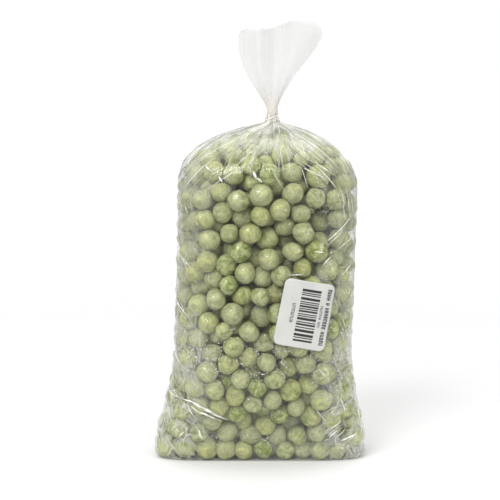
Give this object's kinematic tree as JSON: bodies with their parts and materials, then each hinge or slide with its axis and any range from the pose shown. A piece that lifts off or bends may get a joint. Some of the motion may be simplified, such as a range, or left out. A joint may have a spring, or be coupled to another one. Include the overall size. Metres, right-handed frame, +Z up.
{
  "type": "bag of frozen peas",
  "caption": "Clear plastic bag of green peas standing on its flat foot, twisted to a thin neck below a flared, pleated mouth, with a small paper sticker on the front.",
  "frame": {"origin": "middle of the flat foot that the bag stands on", "axes": "+Z up along the bag to its mouth, -Y out of the front that carries the sticker, +X to the right seen from the front"},
  "size_m": [0.1032, 0.0715, 0.2118],
  "materials": {
    "peas": "skin of shelled green peas, satin, mottled pale to yellow green",
    "film": "thin clear polythene, glossy, creased, milky where it is gathered",
    "label_paper": "coated white sticker paper, satin",
    "label_print": "black thermal print",
    "frost": "fine droplets of water on the inside of the film"
  },
  "bodies": {
    "root": {"bag_of_peas": "peas", "label": "label_paper"}
  },
  "joints": []
}
